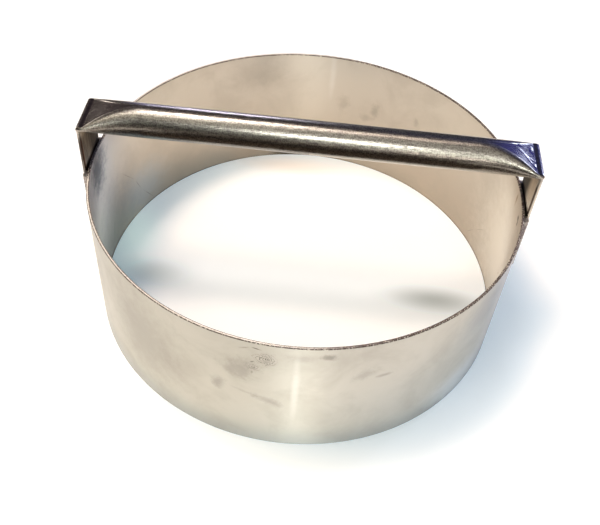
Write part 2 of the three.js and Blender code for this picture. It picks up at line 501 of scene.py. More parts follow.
    def _mask(self, mark: Mark, bench: ShaderBench, place: Place, ragged: Value) -> Value:
        """Find where one mark lies.

        Args:
            mark: The mark.
            bench: The material's bench.
            place: The place along X, Y and Z, in millimetres.
            ragged: The noise that breaks up the mark's edge.

        Returns:
            The mask, from 0 to the mark's strength.
        """
        x, y, z = place
        angle, lean = math.radians(mark.angle), math.radians(mark.lean)
        along = y * math.cos(angle) - x * math.sin(angle)
        facing = x * math.cos(angle) + y * math.sin(angle)
        rise = z - mark.height
        across = along * math.cos(lean) + rise * math.sin(lean)
        upward = rise * math.cos(lean) - along * math.sin(lean)
        reach = bench.hypot(across / mark.half_long, upward / mark.half_short)
        reach = reach + (ragged - 0.5) * (2.0 * mark.ragged)
        mask = (1.0 - bench.rise(reach, self.mark_core, 1.0)) * bench.math("GREATER_THAN", facing, 0.0)
        if mark.whorl:
            middle = bench.math("SQRT", across * across + upward * upward * self.whorl_squash)
            lines = middle * (math.tau / mark.whorl) + ragged * self.whorl_warp
            mask = mask * bench.rise(bench.math("SINE", lines), *self.whorl_line)
        return mask * mark.strength


@dataclass(frozen=True)
class PolishedTube:
    """Polished stainless tube with a fine lengthwise grain, clearer where it is pressed flat, with painted
    light and shade on the tabs.

    The flat on a flare's top widens with the square of the way from the flare's start, by the spread.
    """

    flare_start: float
    flare_spread: float
    axis_height: float
    dark_fleck: Colour = (0.24, 0.215, 0.19)
    light_fleck: Colour = (0.54, 0.495, 0.43)
    fleck_size: float = 0.62 * MM
    fleck_depth: float = 0.065 * MM
    bar_fleck: float = 0.6
    tab_fleck: float = 0.15
    tab_calm: float = 0.75
    speckle: Pair = (0.36, 0.64)
    grain_length: float = 3.0 * MM
    grain_pitch: float = 0.8 * MM
    grain_depth: float = 0.05 * MM
    flat_colour: Colour = (0.36, 0.33, 0.31)
    flat_dark: Colour = (0.25, 0.225, 0.21)
    flat_grain: Pair = (0.38, 0.58)
    flat_roughness: float = 0.13
    flat_edge: float = 0.5 * MM
    roughness: float = 0.17
    grain_rough: float = 0.06
    haze: float = 0.45
    haze_roughness: float = 0.30
    haze_fleck: Pair = (0.4, 0.7)
    haze_rough: float = 0.06
    # Painted shade and light: the left tab's inside is painted near black and the right one's a light beige,
    # both streaked.
    left_tab_shade: Colour = (0.06, 0.047, 0.042)
    left_tab_shade_share: float = 0.97
    right_tab_light: Colour = (0.62, 0.55, 0.46)
    right_tab_light_share: float = 0.9
    tint_reach: Pair = (104.6 * MM, 105.2 * MM)
    tint_height: Pair = (87 * MM, 93 * MM)
    streak_length: float = 16 * MM
    streak: Pair = (0.35, 0.6)
    streak_depth: float = 0.4
    # Painted shade: a dark line in the crease along the tabs' edges.
    crease_shade: Colour = (0.06, 0.03, 0.02)
    crease_place: Pair = (10.6 * MM, 11.2 * MM)
    crease_reach: Pair = (103.5 * MM, 103.9 * MM)
    crease_shade_depth: float = 0.85
    shade_colour: Colour = (0.012, 0.011, 0.011)
    shade_from: Pair = (-5 * MM, 2 * MM)
    shade_height: Pair = (84 * MM, 92 * MM)

    def make(self) -> Material:
        """Make the material.

        Returns:
            The material.
        """
        material, bench = new_material("polished_tube")
        x, y, z = bench.place
        tabs = 1.0 - bench.rise(z, *self.tint_height)
        bar_grain = bench.noise(self.grain_length, self.grain_pitch, self.grain_pitch, detail=3.0)
        tab_grain = bench.noise(self.grain_pitch, self.grain_pitch, self.grain_length, detail=3.0)
        grain = bar_grain + tabs * (tab_grain - bar_grain)
        fleck = bench.noise(self.fleck_size)
        half_flat = bench.math("MAXIMUM", abs(x) - self.flare_start, 0.0) ** 2.0 * self.flare_spread
        on_top = bench.math("GREATER_THAN", z, self.axis_height)
        flat = bench.rise(half_flat - abs(y), 0.0, self.flat_edge) * on_top
        rough = 1.0 - flat
        share = self.bar_fleck + tabs * (self.tab_fleck - self.bar_fleck)
        speckle = bench.rise(fleck * share + grain * (1.0 - share), *self.speckle)
        speckle = 0.5 + (speckle - 0.5) * (1.0 - tabs * self.tab_calm)
        pressed = bench.mix(self.flat_dark, self.flat_colour, bench.rise(grain, *self.flat_grain))
        colour = bench.mix(bench.mix(self.dark_fleck, self.light_fleck, speckle), pressed, flat)
        lined = bench.bump(grain * rough, self.grain_depth, 1.0)
        shared: Inputs = {"Base Color": self._paint_tab_light(bench, tabs, colour), "Metallic": 1.0,
                          "Normal": bench.bump(fleck * rough, self.fleck_depth, 1.0, lined)}
        smooth = self.roughness + flat * (self.flat_roughness - self.roughness)
        clear: Inputs = {**shared, "Roughness": smooth + (grain - 0.5) * self.grain_rough}
        dull = bench.rise(fleck, *self.haze_fleck) * self.haze_rough
        hazy: Inputs = {**shared, "Roughness": self.haze_roughness + dull}
        bench.metals(clear, hazy, rough * self.haze)
        return material

    def _paint_tab_light(self, bench: ShaderBench, tabs: Value, colour: Socket) -> Socket:
        """Paint light and shade on the tabs: painted shade inside the left tab, painted light inside the
        right one, a painted shadow in the gap behind each, and a painted shade in the crease along its
        edges.

        Args:
            bench: The material's bench.
            tabs: 1 on the tabs and 0 on the bar.
            colour: The tube's colour.

        Returns:
            The colour.
        """
        x, y, z = bench.place
        reach = abs(x)
        left = bench.math("LESS_THAN", x, 0.0)
        streaks = bench.noise(self.grain_pitch, self.grain_pitch, self.streak_length)
        uneven = bench.rise(streaks, *self.streak) * self.streak_depth + (1 - self.streak_depth)
        # Painted shade on the left tab and painted light on the right one.
        tint = self.right_tab_light_share + left * (self.left_tab_shade_share - self.right_tab_light_share)
        tint = tint * tabs * (1.0 - bench.rise(reach, *self.tint_reach)) * uneven
        colour = bench.mix(colour, bench.mix(self.right_tab_light, self.left_tab_shade, left), tint)
        inner = (1.0 - bench.rise(reach, *self.crease_reach)) * tabs
        # Painted shadow in the gap behind each tab.
        behind = bench.rise(y, *self.shade_from) * (1.0 - bench.rise(z, *self.shade_height))
        colour = bench.mix(colour, self.shade_colour, behind * inner)
        # Painted shade in the crease.
        crease_shade_mask = bench.rise(abs(y), *self.crease_place) * inner
        return bench.mix(colour, self.crease_shade, crease_shade_mask * self.crease_shade_depth)


@dataclass(frozen=True)
class WeldMetal:
    """Rippled weld metal with a brown and blue heat tint."""

    colour: Colour = (0.42, 0.38, 0.34)
    tint: Colour = (0.16, 0.13, 0.13)
    cloud_size: float = 2.5 * MM
    cloud_range: Pair = (0.35, 0.65)
    cloud_rough: float = 0.2
    roughness: float = 0.38
    pit_depth: float = 0.05 * MM
    pit_strength: float = 0.6

    def make(self) -> Material:
        """Make the material.

        Returns:
            The material.
        """
        material, bench = new_material("weld_metal")
        clouds = bench.noise(self.cloud_size, detail=3.0)
        colour = bench.mix(self.tint, self.colour, bench.rise(clouds, *self.cloud_range))
        roughness = self.roughness + (clouds - 0.5) * self.cloud_rough
        normal = bench.bump(clouds, self.pit_depth, self.pit_strength)
        bench.finish(bench.link("BsdfPrincipled", {
            "Base Color": colour, "Metallic": 1.0, "Roughness": roughness, "Normal": normal}))
        return material


# Modelling kit


class Modeller:
    """Hand-modelling steps that the pieces share."""

    @classmethod
    def start(cls, name: str, shape: str, scale: Point = (1, 1, 1), **settings: Any) -> Piece:
        """Start a piece from a primitive.

        Args:
            name: The piece's name.
            shape: The primitive's name.
            scale: How far it is stretched along its own axes.
            settings: The settings of the operator that adds it.

        Returns:
            The piece.
        """
        bpy.ops.object.select_all(action="DESELECT")
        getattr(bpy.ops.mesh, f"primitive_{shape}_add")(**settings)
        return cls.settle(name, scale)

    @staticmethod
    def settle(name: str, scale: Point) -> Piece:
        """Name and stretch the active object, and put its place, turn and size into its mesh.

        Args:
            name: The piece's name.
            scale: How far it is stretched along its own axes.

        Returns:
            The piece.
        """
        piece = bpy.context.object
        piece.name = name
        piece.data.name = name
        piece.scale = scale
        bpy.ops.object.transform_apply(location=True, rotation=True, scale=True)
        return piece

    @staticmethod
    def pick(piece: Piece) -> None:
        """Select a piece and nothing else, and make it the active one.

        Args:
            piece: The piece.
        """
        bpy.ops.object.select_all(action="DESELECT")
        piece.select_set(True)
        bpy.context.view_layer.objects.active = piece

    @classmethod
    @contextmanager
    def editing(cls, piece: Piece) -> Iterator[None]:
        """Open a piece in edit mode, with no other object selected, and close it again.

        Args:
            piece: The piece.

        Yields:
            Nothing, while the piece is open.
        """
        cls.pick(piece)
        bpy.ops.object.mode_set(mode="EDIT")
        yield
        bpy.ops.object.mode_set(mode="OBJECT")

    @staticmethod
    def choose_all() -> None:
        """Select everything in edit mode."""
        bpy.ops.mesh.select_all(action="SELECT")

    @classmethod
    def face_out(cls) -> None:
        """Turn all faces outwards in edit mode."""
        cls.choose_all()
        bpy.ops.mesh.normals_make_consistent(inside=False)

    @staticmethod
    def choose(piece: Piece, part: Part, test: Callable[[Any], bool]) -> None:
        """Select the verts, edges or faces that pass a test, and nothing else.

        Args:
            piece: The piece in edit mode.
            part: What is tested.
            test: Says whether one of them is selected.
        """
        bpy.ops.mesh.select_mode(type=part.value)
        bpy.ops.mesh.select_all(action="DESELECT")
        mesh = bmesh.from_edit_mesh(piece.data)
        members = {Part.VERTS: mesh.verts, Part.EDGES: mesh.edges, Part.FACES: mesh.faces}[part]
        for member in [member for member in members if test(member)]:
            member.select_set(True)
        mesh.select_flush_mode()
        bmesh.update_edit_mesh(piece.data)

    @staticmethod
    def run(edge: bmesh.types.BMEdge) -> Vector:
        """Return how far an edge runs along X, Y and Z, without the signs."""
        first, second = edge.verts
        return Vector([abs(step) for step in first.co - second.co])

    @staticmethod
    def apply(piece: Piece, kind: str, **settings: Any) -> None:
        """Add a modifier to the active piece and apply it.

        Args:
            piece: The piece.
            kind: The modifier's type.
            settings: The modifier's settings.
        """
        bpy.context.view_layer.objects.active = piece
        modifier = piece.modifiers.new(kind.title(), kind)
        for name, setting in settings.items():
            setattr(modifier, name, setting)
        bpy.ops.object.modifier_apply(modifier=modifier.name)

    @classmethod
    def smooth(cls, piece: Piece, degrees: float) -> None:
        """Shade a piece smooth, apart from edges sharper than an angle."""
        cls.pick(piece)
        bpy.ops.object.shade_smooth_by_angle(angle=math.radians(degrees))

    @staticmethod
    def dress(piece: Piece, finish: Material, slot: str, *nodes: str) -> None:
        """Give a piece its finish and its place in the frame.

        Args:
            piece: The piece.
            finish: Its material.
            slot: The record's material slot; not used.
            nodes: The CAD nodes that it stands for.
        """
        piece.data.materials.clear()
        piece.data.materials.append(finish)
        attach(piece, "root")
        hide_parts(*nodes)
        LOG.info("%s: %d faces, %s", piece.name, len(piece.data.polygons), finish.name)


# Pieces


@dataclass
class CutterRing:
    """The strip of sheet that is rolled into the cutting ring."""

    outer_radius: float
    height: float
    wall: float = 1.2 * MM
    edge_round: float = 0.14 * MM
    edge_land: float = 0.4 * MM
    foot_burr: float = 0.25 * MM
    seam_angle: float = math.radians(-3.0)
    seam_width: float = 1.4 * MM
    steps: int = 288
    sharp: float = 40.0

    @classmethod
    def from_frame(cls) -> "CutterRing":
        """Take the ring's radius and height from its CAD node."""
        low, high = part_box("cutter_ring")
        return cls(outer_radius=high[1], height=high[2] - low[2])

    @property
    def middle_radius(self) -> float:
        """The radius of the middle of the wall."""
        return self.outer_radius - self.wall / 2

    @property
    def half_gap(self) -> float:
        """Half the angle that the seam takes up."""
        return self.seam_width / 2 / self.middle_radius

    def build(self) -> Piece:
        """Spin the wall's section round the ring, from one side of the seam to the other.

        Returns:
            The ring.
        """
        ring = Modeller.start("rolled_ring", "plane", (self.wall, self.height, 1), size=1,
                              location=(self.middle_radius, 0, self.height / 2),
                              rotation=(math.pi / 2, 0, 0))
        start, end = self.seam_angle - self.half_gap, self.seam_angle + self.half_gap
        with Modeller.editing(ring):
            Modeller.choose_all()
            bpy.ops.mesh.bevel(offset=self.edge_round, segments=3, affect="VERTICES")
            bpy.ops.mesh.delete(type="ONLY_FACE")
            self._hold_edges(ring)
            Modeller.choose_all()
            bpy.ops.transform.rotate(value=-start, orient_axis="Z", center_override=(0, 0, 0))
            bpy.ops.mesh.spin(steps=self.steps, angle=math.tau - 2 * self.half_gap, center=(0, 0, 0),
                              axis=(0, 0, 1))
            for angle in (start, end):
                plane = Vector((-math.sin(angle), math.cos(angle), 0))
                Modeller.choose(ring, Part.VERTS, lambda vert: abs(vert.co.dot(plane)) < NEAR
                                and vert.co.x > 0)
                bpy.ops.mesh.edge_face_add()
            Modeller.face_out()
        Modeller.smooth(ring, self.sharp)
        return ring

    def _hold_edges(self, ring: Piece) -> None:
        """Add points beside the edges, so that the wall stays flat between them, and turn the foot in.

        Args:
            ring: The ring in edit mode, as the outline of its section.
        """
        low = (self.edge_land, 2 * self.edge_land)
        places = (*low, self.height - low[1], self.height - low[0])
        Modeller.choose(ring, Part.EDGES, lambda edge: Modeller.run(edge).z > self.height / 2)
        bpy.ops.mesh.subdivide(number_cuts=len(places))
        step = (self.height - 2 * self.edge_round) / (len(places) + 1)
        for cut, place in enumerate(places, 1):
            rung = self.edge_round + step * cut
            Modeller.choose(ring, Part.VERTS, lambda vert: abs(vert.co.z - rung) < NEAR)
            bpy.ops.transform.translate(value=(0, 0, place - rung))
        Modeller.choose(ring, Part.VERTS, lambda vert: vert.co.z < self.edge_land / 2
                        and vert.co.x < self.middle_radius - self.wall / 4)
        bpy.ops.transform.translate(value=(-self.foot_burr, 0, 0))


@dataclass(frozen=True)
class Dent:
    """A shallow oval dent that pressing leaves in a flare's top, or a ridge where the depth is below 0.

    Places and sizes are in millimetres. The turn of the long side from X towards Y is in degrees.
    """

    x: float
    y: float
    half_long: float
    half_short: float
    depth: float
    turn: float = 0.0

    def reach(self, place: Any) -> float:
        """Measure how far a place is from the dent's middle.

        Args:
            place: The place, in metres.

        Returns:
            The distance, against that of the dent's edge on the same side.
        """
        turn = math.radians(self.turn)
        east, north = place.x / MM - self.x, place.y / MM - self.y
        along = east * math.cos(turn) + north * math.sin(turn)
        across = north * math.cos(turn) - east * math.sin(turn)
        return math.hypot(along / self.half_long, across / self.half_short)


DENTS = (
    Dent(93.2, 4.6, 2.6, 1.5, 0.16, turn=-20.0),
    Dent(100.6, 4.6, 1.4, 3.0, 0.16),
    Dent(94.5, 0.8, 5.0, 0.7, 0.07, turn=-45.0),
    Dent(98.4, -3.6, 3.0, 0.7, 0.07, turn=-58.0),
    Dent(101.6, -6.8, 2.8, 0.9, 0.10, turn=-70.0),
    Dent(100.0, -2.6, 2.6, 0.6, 0.06, turn=-15.0),
    Dent(-100.8, 1.0, 3.8, 0.6, -0.08, turn=28.0),
)


@dataclass
class Grip:
    """The tube that is round in the hand, pressed flat at both ends and folded down outside the ring."""

    axis_height: float
    tab_outer_x: float
    tab_end_height: float
    tube_radius: float
    flat_thickness: float = 2.3 * MM
    wall: float = 1.0 * MM
    flare_length: float = 27 * MM
    fold_inner_radius: float = 0.2 * MM
    fold_outer_radius: float = 1.5 * MM
    fold_run: float = 1.0 * MM
    section_sides: int = 96
    flare_steps: int = 27
    fold_steps: int = 4
    join: float = 0.001 * MM
    dents: tuple[Dent, ...] = DENTS
    dent_from: float = 87 * MM
    dent_edge: float = 2 * MM
    dent_lean: float = 0.02
    dent_cuts: int = 15
    dent_levels: int = 5
    sharp: float = 35.0

    @classmethod
    def from_frame(cls, tube: float = 15.9 * MM) -> "Grip":
        """Take the axis and the tabs' reach from the CAD node, and the tube's diameter as it is."""
        low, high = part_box("handle_tube")
        return cls(high[2] - tube / 2, high[0], low[2], tube / 2)

    @property
    def pivot(self) -> Pair:
        """The place along X and Z of the line that the flat end folds about."""
        inner_x = self.tab_outer_x - self.flat_thickness
        underside = self.axis_height - self.flat_thickness / 2
        return inner_x - self.fold_inner_radius, underside - self.fold_inner_radius

    @property
    def flare_start(self) -> float:
        """The place along X where the round tube starts to flare."""
        return self.pivot[0] - self.fold_run - self.flare_length

    @property
    def flare_spread(self) -> float:
        """How half the flat's width grows with the square of the way along the flare."""
        return self.half_flat(self.flat_thickness) / self.flare_length ** 2

    def thickness(self, x: float) -> float:
        """Return how thick the tube is at a place along it, as its end is pressed flat."""
        along = min(max((x - self.flare_start) / self.flare_length, 0.0), 1.0)
        return 2 * self.tube_radius - (2 * self.tube_radius - self.flat_thickness) * along ** 2

    def half_flat(self, thickness: float) -> float:
        """Return half the flat's width where the tube has a thickness, so that its girth stays the same."""
        return math.pi * (2 * self.tube_radius - thickness) / 4

    def build(self) -> Piece:
        """Extrude the tube from its middle to one tab, mirror it and give it its wall.

        Returns:
            The grip.
        """
        grip = Modeller.start("tube_grip", "circle", vertices=self.section_sides, radius=self.tube_radius,
                              location=(0, 0, self.axis_height), rotation=(0, math.pi / 2, 0))
        with Modeller.editing(grip):
            Modeller.choose_all()
            bpy.ops.transform.rotate(value=math.pi / self.section_sides, orient_axis="X",
                                     center_override=(0, 0, self.axis_height))
            place = self.flare_start
            self._extrude(place)
            for step in range(1, self.flare_steps + 1):
                target = self.flare_start + self.flare_length * step / self.flare_steps
                self._press(grip, place, target)
                place = target
            self._fold(place)
        Modeller.apply(grip, "MIRROR", use_axis=(True, False, False), use_clip=True)
        with Modeller.editing(grip):
            Modeller.choose_all()
            bpy.ops.mesh.remove_doubles(threshold=self.join)
            bpy.ops.mesh.normals_make_consistent(inside=False)
            self._dent(grip)
        Modeller.apply(grip, "SOLIDIFY", thickness=self.wall, offset=-1.0, use_even_offset=True)
        Modeller.smooth(grip, self.sharp)
        return grip

    @staticmethod
    def _extrude(x: float = 0.0, z: float = 0.0) -> None:
        """Extrude the selected loop by a step along X and Z."""
        bpy.ops.mesh.extrude_region_move(TRANSFORM_OT_translate={"value": (x, 0, z)})

    def _press(self, grip: Piece, place: float, target: float) -> None:
        """Extrude the loop to the next station and press it flatter there.

        Args:
            grip: The grip in edit mode, with the loop selected.
            place: Where the loop is along X.
            target: Where it goes.
        """
        self._extrude(target - place)
        before, after = self.thickness(place), self.thickness(target)
        old_flat, new_flat = self.half_flat(before), self.half_flat(after)
        ratio = after / before
        for side in Edge:
            Modeller.choose(grip, Part.VERTS, lambda vert: abs(vert.co.x - target) < NEAR
                            and vert.co.y * side.value > 0)
            bpy.ops.transform.resize(value=(1, ratio, ratio),
                                     center_override=(target, side.value * old_flat, self.axis_height))
            bpy.ops.transform.translate(value=(0, side.value * (new_flat - old_flat), 0))
        Modeller.choose(grip, Part.VERTS, lambda vert: abs(vert.co.x - target) < NEAR)

    def _fold(self, place: float) -> None:
        """Fold the selected loop of the flat end down by a right angle, and extrude the tab.

        Args:
            place: Where the loop is along X.
        """
        pivot_x, pivot_z = self.pivot
        centre = (pivot_x, 0, pivot_z)
        self._extrude(pivot_x - place)
        step = math.pi / 2 / self.fold_steps
        stretch = 1.0
        for turn in range(1, self.fold_steps + 1):
            self._extrude()
            bpy.ops.transform.rotate(value=-step, orient_axis="Y", center_override=centre)
            reach = self._fold_reach(turn * step)
            bpy.ops.transform.resize(value=(reach / stretch, 1, reach / stretch), center_override=centre)
            stretch = reach
        self._extrude(z=self.tab_end_height - pivot_z)

    def _fold_reach(self, angle: float) -> float:
        """Measure how far the fold's outside stands from the pivot line.

        Args:
            angle: How far the fold has turned there.

        Returns:
            The distance, against that of the flat end's outside.
        """
        outer = self.flat_thickness + self.fold_inner_radius
        corner = (outer - self.fold_outer_radius) * math.sqrt(2)
        off = abs(angle - math.pi / 4)
        across = corner * math.sin(off)
        reach = corner * math.cos(off) + math.sqrt(self.fold_outer_radius ** 2 - across ** 2)
        return min(reach, outer / max(math.cos(angle), math.sin(angle))) / outer

    def _dent(self, grip: Piece) -> None:
        """Give the flares' tops a close mesh and press the dents into it.

        Args:
            grip: The grip in edit mode.
        """
        top = self.axis_height + self.flat_thickness / 4

        def on_top(*verts: Any) -> bool:
            """Return whether all verts are on the flares' tops."""
            return all(abs(vert.co.x) > self.dent_from and vert.co.z > top for vert in verts)

        Modeller.choose(grip, Part.EDGES, lambda edge: on_top(*edge.verts)
                        and Modeller.run(edge).y > self.dent_edge)
        bpy.ops.mesh.subdivide(number_cuts=self.dent_cuts)
        Modeller.choose(grip, Part.FACES, lambda face: on_top(*face.verts)
                        and abs(face.normal.y) < self.dent_lean)
        bpy.ops.mesh.subdivide(number_cuts=1)
        for dent in self.dents:
            for level in range(self.dent_levels):
                share = 1 - level / self.dent_levels
                Modeller.choose(grip, Part.VERTS, lambda vert: on_top(vert) and dent.reach(vert.co) < share)
                bpy.ops.transform.translate(value=(0, 0, -dent.depth * MM / self.dent_levels))


@dataclass
class SeamBead:
    """The weld that closes the ring's butt joint, flush outside and low inside."""

    ring: CutterRing
    inward: float = -0.9
    end_gap: float = 0.6 * MM
    shoulder: float = 0.3 * MM
    crown: float = 0.06 * MM
    ripples: int = 24
    ripple_depth: float = 0.02 * MM
    ripple_seed: int = 4
    sharp: float = 50.0

    def build(self) -> Piece:
        """Shape the bead from a block, with its inner face crowned and rippled.

        Returns:
            The bead.
        """
        ring = self.ring
        inner = ring.outer_radius - ring.wall
        bead = Modeller.start("seam_bead", "cube", (ring.wall, ring.seam_width, ring.height - self.end_gap),
                              size=1, location=(ring.middle_radius, 0, ring.height / 2))
        with Modeller.editing(bead):
            Modeller.choose(bead, Part.FACES, lambda face: face.normal.x < self.inward)
            bpy.ops.mesh.inset(thickness=self.shoulder)
            bpy.ops.transform.translate(value=(-self.crown, 0, 0))
            Modeller.choose(bead, Part.EDGES, lambda edge: Modeller.run(edge).z > ring.height / 2)
            bpy.ops.mesh.subdivide(number_cuts=self.ripples)
            Modeller.choose(bead, Part.VERTS, lambda vert: vert.co.x < inner - self.crown / 2)
            bpy.ops.transform.vertex_random(offset=self.ripple_depth, uniform=1.0, seed=self.ripple_seed)
            Modeller.choose_all()
            bpy.ops.transform.rotate(value=-ring.seam_angle, orient_axis="Z", center_override=(0, 0, 0))
        Modeller.smooth(bead, self.sharp)
        return bead


@dataclass
class TabBeads:
    """The four rippled beads that hold the long edges of the tabs to the ring."""

    length: float
    bottom: float
    x: float = 103.1 * MM
    y: float = 12.53 * MM
    radius: float = 1.8 * MM
    ripples: int = 15
    ripple_steps: int = 4
    ripple_depth: float = 0.12
    end_steps: int = 3
    end_share: float = 0.5
    sides: int = 20
    sharp: float = 60.0

    @classmethod
    def from_frame(cls) -> "TabBeads":
        """Take the beads' length and height from one of their CAD nodes."""
        low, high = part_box("right_tab_rear_weld")
        return cls(length=high[2] - low[2], bottom=low[2])

    def build(self) -> Piece:
        """Draw one bead up from its foot, ring by ring, swelling and narrowing at each ripple.

        Returns:
            The bead at the rear of the right tab.
        """
        bead = Modeller.start("right_rear_bead", "circle", vertices=self.sides, radius=self.radius,
                              fill_type="NGON", location=(self.x, self.y, self.bottom))
        centre = Vector((self.x, self.y, 0))
        steps = self.ripples * self.ripple_steps
        lift = (0, 0, self.length / steps)
        scale = self.end_share
        with Modeller.editing(bead):
            Modeller.choose_all()
            bpy.ops.transform.resize(value=(scale, scale, 1), center_override=centre)
            for step in range(1, steps + 1):
                bpy.ops.mesh.extrude_region_move(TRANSFORM_OT_translate={"value": lift})
                end = min(step, steps - step) / self.end_steps
                swell = min(1.0, self.end_share + (1 - self.end_share) * end)
                target = swell * (1 - self.ripple_depth * (step % self.ripple_steps) / self.ripple_steps)
                bpy.ops.transform.resize(value=(target / scale, target / scale, 1), center_override=centre)
                scale = target
            Modeller.face_out()
        Modeller.smooth(bead, self.sharp)
        return bead

    @staticmethod
    def copy(bead: Piece, side: Side, edge: Edge) -> Piece:
        """Copy the bead to another corner.

        Args:
            bead: The bead at the rear of the right tab.
            side: The tab that the copy is on.
            edge: The edge of the tab that it runs along.

        Returns:
            The copy, with its own mesh.
        """
        Modeller.pick(bead)
        bpy.ops.object.duplicate()
        twin = Modeller.settle(f"{side.name.lower()}_{edge.name.lower()}_bead", (side.value, edge.value, 1))
        with Modeller.editing(twin):
            Modeller.face_out()
        return twin


# Studio


@dataclass(frozen=True)
class Lamp:
    """A rectangular soft lamp, in metres and watts, which the metal shows where it is mirrored."""

    name: str
    place: Point
    size: Pair
    power: float
    colour: Colour
    mirrored: bool = True


@dataclass(frozen=True)
class RoomPatch:
    """A soft round patch of the room: its name, direction and colour.

    It is even out to its middle and fades to its edge. Both are in degrees from its direction.
    """

    name: str
    direction: Point
    middle: float
    edge: float
    colour: Colour


@dataclass(frozen=True)
class PaintedFloorPatch:
    """A soft oval of painted shade or painted light on the floor: its place and half size along X and Y, its
    strength and its colour.
    """

    place: Pair
    size: Pair
    strength: float
    colour: Colour


@dataclass
class Studio:
    """The floor with painted shade and light, the lamps, two dark cards that only reflections show, as
    painted dark reflections, the room that the metal mirrors, and the camera.
    """

    floor_size: float = 12.0
    floor_colour: Colour = (0.85, 0.84, 0.82)
    floor_glow: Colour = (0.125, 0.20, 0.255)
    far_glow: Colour = (1.0, 1.0, 1.0)
    white_from: Pair = (0.22, 0.40)
    table_colour: Colour = (0.05, 0.045, 0.04)
    sheet_front: Pair = (0.24, 0.28)
    sheet_back: Pair = (0.36, 0.42)
    sheet_side: Pair = (0.34, 0.42)
    painted_floor_patches: tuple[PaintedFloorPatch, ...] = (
        # Painted shadow at the right end of the bar's shadow.
        PaintedFloorPatch((0.073, -0.007), (0.036, 0.012), 0.50, (0.02, 0.035, 0.02)),
        # Painted shade, warm, along the back wall's foot inside.
        PaintedFloorPatch((-0.015, 0.090), (0.055, 0.014), 0.28, (0.40, 0.24, 0.12)),
        # Painted shadow at the left end of the bar's shadow.
        PaintedFloorPatch((-0.078, -0.008), (0.028, 0.014), 0.26, (0.02, 0.06, 0.035)),
        # Painted light, a pale teal, next to the left wall's foot inside.
        PaintedFloorPatch((-0.094, 0.016), (0.020, 0.040), 0.42, (0.50, 0.66, 0.60)),
    )
    lamps: tuple[Lamp, ...] = (
        Lamp("overhead_key", (-0.50, 0.12, 1.50), (0.60, 0.34), 13.5, (1.0, 0.72, 0.50), mirrored=False),
        Lamp("soft_fill", (-0.49, -0.28, 1.28), (0.80, 0.80), 5.0, (1.0, 0.95, 0.82), mirrored=False),
        Lamp("overhead_panel", (-0.27, 0.24, 1.50), (0.26, 0.12), 1.9, (1.0, 0.75, 0.62)),
        Lamp("front_spot", (0.022, -0.60, 0.56), (0.05, 0.12), 1.0, (0.95, 1.0, 0.98)),
    )
    lamp_aim: Point = (0.0, 0.0, 0.06)
    ceiling: Colour = (0.0, 0.0, 0.0)
    patches: tuple[RoomPatch, ...] = (
        RoomPatch("left_window", (-0.50, -0.203, 0.84), 6, 33, (0.66, 0.61, 0.50)),
        RoomPatch("front_sky", (0.12, -0.47, 0.88), 8, 32, (0.55, 0.54, 0.50)),
        RoomPatch("front_end", (0.085, -0.75, 0.652), 3, 7.5, (2.0, 2.0, 1.9)),
        RoomPatch("skylight", (-0.165, 0.17, 0.97), 1.5, 5.5, (19.0, 20.0, 21.0)),
        RoomPatch("skylight_end", (-0.22, -0.09, 0.97), 2, 7, (7.5, 7.3, 7.0)),
        RoomPatch("front_lamp", (0.14, -0.911, 0.387), 3, 10, (3.7, 3.9, 3.5)),
        RoomPatch("front_right", (0.70, -0.70, 0.139), 6, 36, (0.56, 0.50, 0.55)),
        RoomPatch("right_sky", (0.557, 0.557, 0.616), 6, 36, (0.08, 0.09, 0.20)),
        RoomPatch("right_wall", (0.70, 0.70, 0.139), 6, 36, (0.06, 0.06, 0.40)),
        RoomPatch("right_glint", (0.66, 0.66, 0.36), 3, 8, (12.0, 14.0, 18.0)),
        RoomPatch("left_glint", (-0.68, 0.64, 0.36), 2, 7, (8.0, 7.5, 7.0)),
        RoomPatch("back_glint", (-0.125, 0.955, 0.27), 1.5, 4.5, (16.0, 16.0, 20.0)),
        RoomPatch("back_sheen", (-0.18, 0.962, 0.205), 3, 9, (0.3, 0.28, 0.9)),
        RoomPatch("left_sky", (-0.557, 0.557, 0.616), 6, 36, (0.066, 0.05, 0.06)),
        RoomPatch("left_wall", (-0.70, 0.70, 0.139), 6, 36, (0.11, 0.095, 0.085)),
        RoomPatch("back_wall", (0.0, 0.99, 0.139), 6, 36, (0.05, 0.05, 0.05)),
        RoomPatch("front_low", (0.20, -0.977, 0.068), 2, 5.5, (9.0, 8.4, 7.8)),
        RoomPatch("overhead_right", (0.04, 0.17, 0.98), 3, 11, (3.0, 2.6, 2.35)),
    )
    # A dark card inside the front wall and one under the bar, which only reflections show: painted dark
    # reflections.
    flag_radius: float = 0.101
    flag_height: float = 0.0715
    flag_span: float = 150.0
    flag_sides: int = 180
    board_place: Point = (0.0, -0.016, 0.080)
    board_size: Pair = (0.156, 0.014)
    dark_reflection_colour: Colour = (0.05, 0.042, 0.036)

    def build(self) -> None:
        """Set up the floor, the lamps, the cards, the room and the camera."""
        self._floor()
        for lamp in self.lamps:
            self._hang(lamp)
        self._raise_flag()
        # A dark card under the bar, as a painted dark reflection in its underside.
        self._cover(Modeller.start("bar_dark_card", "plane", (*self.board_size, 1), size=1,
                                   location=self.board_place))
        self._room()
        self._camera()
        bpy.context.scene.view_settings.view_transform = "Standard"

